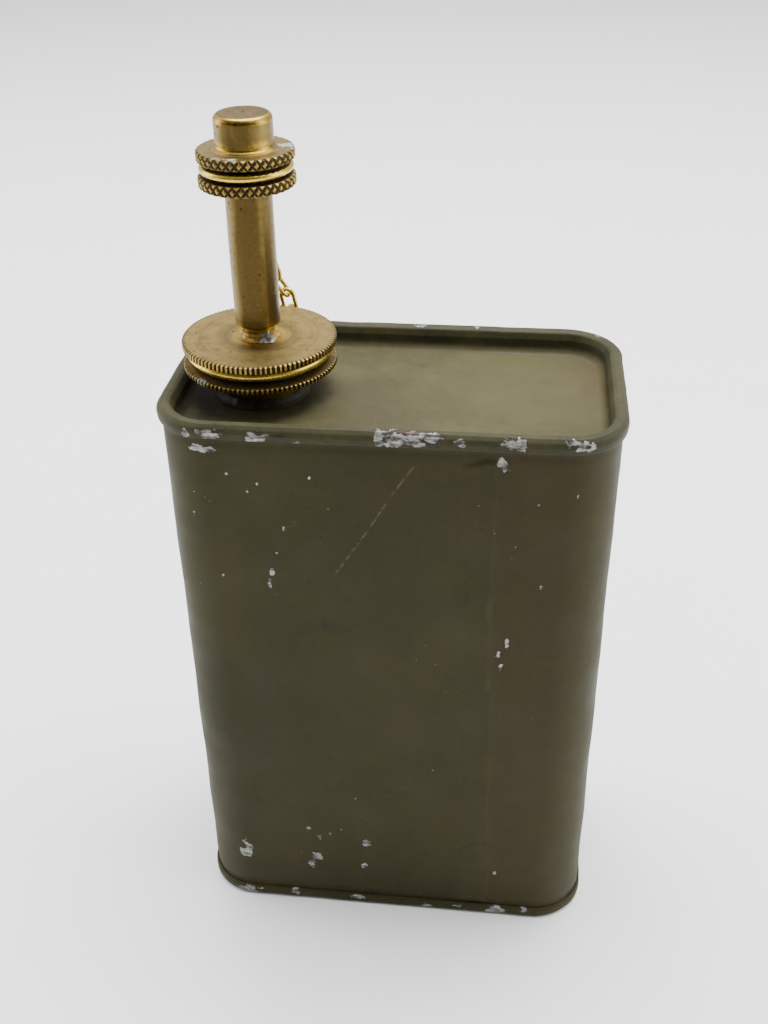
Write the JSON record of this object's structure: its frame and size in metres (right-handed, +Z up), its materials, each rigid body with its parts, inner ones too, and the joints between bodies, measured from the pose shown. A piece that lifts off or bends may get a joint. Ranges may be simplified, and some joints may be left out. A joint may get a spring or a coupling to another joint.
{
  "type": "handy oiler can",
  "caption": "Flat rectangular painted tin oil can with a screw filler cap, pouring spout, knurled spout cap and keeper chain.",
  "frame": {"origin": "centre of the foot, at floor level", "axes": "+X along the can's width, away from the filler; +Y to the back, -Y is the face with the side seam; +Z up the spout"},
  "size_m": [0.076, 0.042, 0.1514],
  "materials": {
    "olive_paint": "satin olive drab paint, chipped to grey tinplate",
    "olive_paint_top": "satin olive drab paint with stains",
    "brass": "aged satin brass",
    "bright_brass": "bright worn brass wire",
    "solder": "dull grey soft solder",
    "leather": "oil soaked"
  },
  "bodies": {
    "tin": {"body_shell": "olive_paint", "top_plate": "olive_paint_top", "bottom_plate": "olive_paint", "filler_neck": "brass", "neck_solder": "olive_paint_top"},
    "filler_washer": {"filler_washer": "leather"},
    "filler": {"filler_cap": "brass", "spout_tube": "brass", "spout_solder": "solder"},
    "filler_ring": {"filler_ring": "bright_brass"},
    "spout_washer": {"spout_washer": "leather"},
    "spout_cap": {"spout_cap": "brass"},
    "spout_ring": {"spout_ring": "bright_brass"},
    "chain_link_01": {"chain_link_01": "bright_brass"},
    "chain_link_02": {"chain_link_02": "bright_brass"},
    "chain_link_03": {"chain_link_03": "bright_brass"},
    "chain_link_04": {"chain_link_04": "bright_brass"},
    "chain_link_05": {"chain_link_05": "bright_brass"},
    "chain_link_06": {"chain_link_06": "bright_brass"},
    "chain_link_07": {"chain_link_07": "bright_brass"},
    "chain_link_08": {"chain_link_08": "bright_brass"},
    "chain_link_09": {"chain_link_09": "bright_brass"},
    "chain_link_10": {"chain_link_10": "bright_brass"},
    "chain_link_11": {"chain_link_11": "bright_brass"}
  },
  "joints": [
    {"name": "filler_cap_lift", "type": "slide", "parent": "tin", "child": "filler_washer", "axis": [0, 0, 1], "range_m": [0, 0.00733]},
    {"name": "filler_cap_turn", "type": "hinge", "parent": "filler_washer", "child": "filler", "pos_m": [-0.0229, -0.00014, 0.1], "axis": [0, 0, 1], "range_deg": [0, 2700]},
    {"name": "filler_ring_swivel", "type": "hinge", "parent": "filler", "child": "filler_ring", "pos_m": [-0.0229, -0.00014, 0.1129], "axis": [0, 0, 1], "continuous": true},
    {"name": "spout_cap_lift", "type": "slide", "parent": "filler", "child": "spout_washer", "axis": [0, 0, 1], "range_m": [0, 0.00293]},
    {"name": "spout_cap_turn", "type": "hinge", "parent": "spout_washer", "child": "spout_cap", "pos_m": [-0.0229, -0.00014, 0.143], "axis": [0, 0, 1], "range_deg": [0, 1080]},
    {"name": "spout_ring_swivel", "type": "hinge", "parent": "spout_washer", "child": "spout_ring", "pos_m": [-0.0229, -0.00014, 0.14325], "axis": [0, 0, 1], "continuous": true},
    {"name": "chain_link_01_bend", "type": "hinge", "parent": "spout_ring", "child": "chain_link_01", "pos_m": [-0.02578, 0.00886, 0.14278], "axis": [-0.101, -0.6217, 0.7767], "range_deg": [0, 30.71]},
    {"name": "chain_link_02_bend", "type": "hinge", "parent": "chain_link_01", "child": "chain_link_02", "pos_m": [-0.02635, 0.01001, 0.13985], "axis": [-0.0122, -0.2273, 0.9738], "range_deg": [0, 15.7]},
    {"name": "chain_link_03_bend", "type": "hinge", "parent": "chain_link_02", "child": "chain_link_03", "pos_m": [-0.02727, 0.01164, 0.13725], "axis": [-0.31, 0.4358, -0.845], "range_deg": [0, 24.14]},
    {"name": "chain_link_04_bend", "type": "hinge", "parent": "chain_link_03", "child": "chain_link_04", "pos_m": [-0.02844, 0.01346, 0.13489], "axis": [-0.2046, 0.5266, -0.8251], "range_deg": [0, 21.46]},
    {"name": "chain_link_05_bend", "type": "hinge", "parent": "chain_link_04", "child": "chain_link_05", "pos_m": [-0.02925, 0.01528, 0.13239], "axis": [0.5, 0.3146, 0.8069], "range_deg": [0, 11.28]},
    {"name": "chain_link_06_bend", "type": "hinge", "parent": "chain_link_05", "child": "chain_link_06", "pos_m": [-0.02912, 0.01682, 0.12959], "axis": [-0.0292, 0.3931, 0.919], "range_deg": [0, 28.47]},
    {"name": "chain_link_07_bend", "type": "hinge", "parent": "chain_link_06", "child": "chain_link_07", "pos_m": [-0.02783, 0.01762, 0.12677], "axis": [-0.5382, 0.0151, 0.8427], "range_deg": [0, 22.73]},
    {"name": "chain_link_08_bend", "type": "hinge", "parent": "chain_link_07", "child": "chain_link_08", "pos_m": [-0.02596, 0.01746, 0.12418], "axis": [0.5831, -0.6716, -0.4571], "range_deg": [0, 15.04]},
    {"name": "chain_link_09_bend", "type": "hinge", "parent": "chain_link_08", "child": "chain_link_09", "pos_m": [-0.02428, 0.0165, 0.12163], "axis": [0.5262, -0.2575, -0.8105], "range_deg": [0, 23.8]},
    {"name": "chain_link_10_bend", "type": "hinge", "parent": "chain_link_09", "child": "chain_link_10", "pos_m": [-0.02295, 0.01524, 0.119], "axis": [0.153, 0.2937, -0.9436], "range_deg": [0, 17.41]},
    {"name": "chain_link_11_bend", "type": "hinge", "parent": "chain_link_10", "child": "chain_link_11", "pos_m": [-0.02099, 0.01445, 0.1166], "axis": [-0.3694, -0.9291, -0.0162], "range_deg": [0, 7.6]}
  ],
  "couplings": [
    {"joint": "filler_cap_turn", "follows": "filler_cap_lift", "rad_per_m": 6431.1},
    {"joint": "spout_cap_turn", "follows": "spout_cap_lift", "rad_per_m": 6431.1},
    {"joint": "filler_ring_swivel", "follows": "spout_ring_swivel", "ratio": 1},
    {"joint": "chain_link_01_bend", "follows": "spout_cap_lift", "rad_per_m": 182.8},
    {"joint": "chain_link_02_bend", "follows": "spout_cap_lift", "rad_per_m": 93.423},
    {"joint": "chain_link_03_bend", "follows": "spout_cap_lift", "rad_per_m": 143.69},
    {"joint": "chain_link_04_bend", "follows": "spout_cap_lift", "rad_per_m": 127.71},
    {"joint": "chain_link_05_bend", "follows": "spout_cap_lift", "rad_per_m": 67.085},
    {"joint": "chain_link_06_bend", "follows": "spout_cap_lift", "rad_per_m": 169.49},
    {"joint": "chain_link_07_bend", "follows": "spout_cap_lift", "rad_per_m": 135.29},
    {"joint": "chain_link_08_bend", "follows": "spout_cap_lift", "rad_per_m": 89.52},
    {"joint": "chain_link_09_bend", "follows": "spout_cap_lift", "rad_per_m": 141.64},
    {"joint": "chain_link_10_bend", "follows": "spout_cap_lift", "rad_per_m": 103.61},
    {"joint": "chain_link_11_bend", "follows": "spout_cap_lift", "rad_per_m": 45.17}
  ]
}
